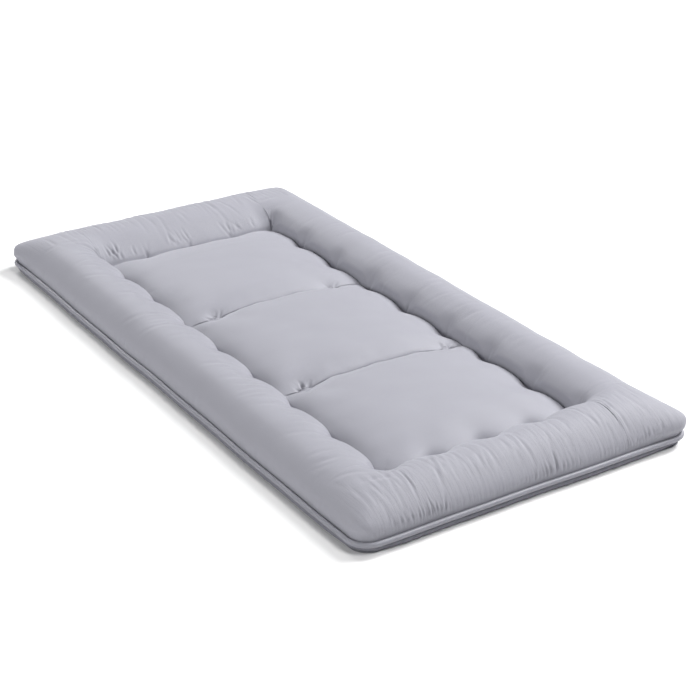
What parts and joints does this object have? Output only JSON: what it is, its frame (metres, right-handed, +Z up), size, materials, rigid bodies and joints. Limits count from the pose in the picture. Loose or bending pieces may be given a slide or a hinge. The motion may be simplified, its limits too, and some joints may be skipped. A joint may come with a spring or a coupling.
{
  "type": "futon mattress",
  "caption": "Quilted floor futon mattress with a raised stuffed border, piped edge and a centre sewn into cells; folds in three.",
  "frame": {"origin": "centre of the underside, on the floor that the mattress lies on", "axes": "+X across the bed to the right as seen from the foot, +Y along the bed from foot to head, +Z up"},
  "size_m": [1, 2, 0.118],
  "materials": {
    "top_cloth": "smooth light grey microfibre with a soft satin sheen",
    "band_cloth": "smooth grey microfibre",
    "base_cloth": "plain grey microfibre",
    "piping": "satin grey bias strip",
    "piping_cord": "twisted cotton cord",
    "wadding": "loose white fibre wadding",
    "core": "dense bonded cotton batting",
    "thread": "grey polyester thread"
  },
  "bodies": {
    "foot": {"foot_bottom_cover": "base_cloth", "foot_lower_wadding": "wadding", "foot_core": "core", "foot_upper_wadding": "wadding", "foot_border_left": "wadding", "foot_border_right": "wadding", "foot_border_end": "wadding", "foot_top_cover": "top_cloth", "foot_side_band": "band_cloth", "foot_piping_sleeve": "piping", "foot_piping_cord": "piping_cord", "foot_tacks": "thread"},
    "middle": {"middle_bottom_cover": "base_cloth", "middle_lower_wadding": "wadding", "middle_core": "core", "middle_upper_wadding": "wadding", "middle_border_left": "wadding", "middle_border_right": "wadding", "middle_top_cover": "top_cloth", "middle_side_band_left": "band_cloth", "middle_side_band_right": "band_cloth", "middle_piping_sleeve_left": "piping", "middle_piping_sleeve_right": "piping", "middle_piping_cord_left": "piping_cord", "middle_piping_cord_right": "piping_cord", "middle_tacks": "thread", "middle_quilting_threads": "thread"},
    "head": {"head_bottom_cover": "base_cloth", "head_lower_wadding": "wadding", "head_core": "core", "head_upper_wadding": "wadding", "head_border_left": "wadding", "head_border_right": "wadding", "head_border_end": "wadding", "head_top_cover": "top_cloth", "head_side_band": "band_cloth", "head_piping_sleeve": "piping", "head_piping_cord": "piping_cord", "head_tacks": "thread"}
  },
  "joints": [
    {"name": "first_fold", "type": "hinge", "parent": "foot", "child": "middle", "pos_m": [0, -0.33333, 0.12], "axis": [1, 0, 0], "range_deg": [0, 179]},
    {"name": "second_fold", "type": "hinge", "parent": "middle", "child": "head", "pos_m": [0, 0.33333, -0.002], "axis": [1, 0, 0], "range_deg": [-179, 0]}
  ],
  "couplings": [
    {"joint": "second_fold", "follows": "first_fold", "ratio": -1}
  ]
}
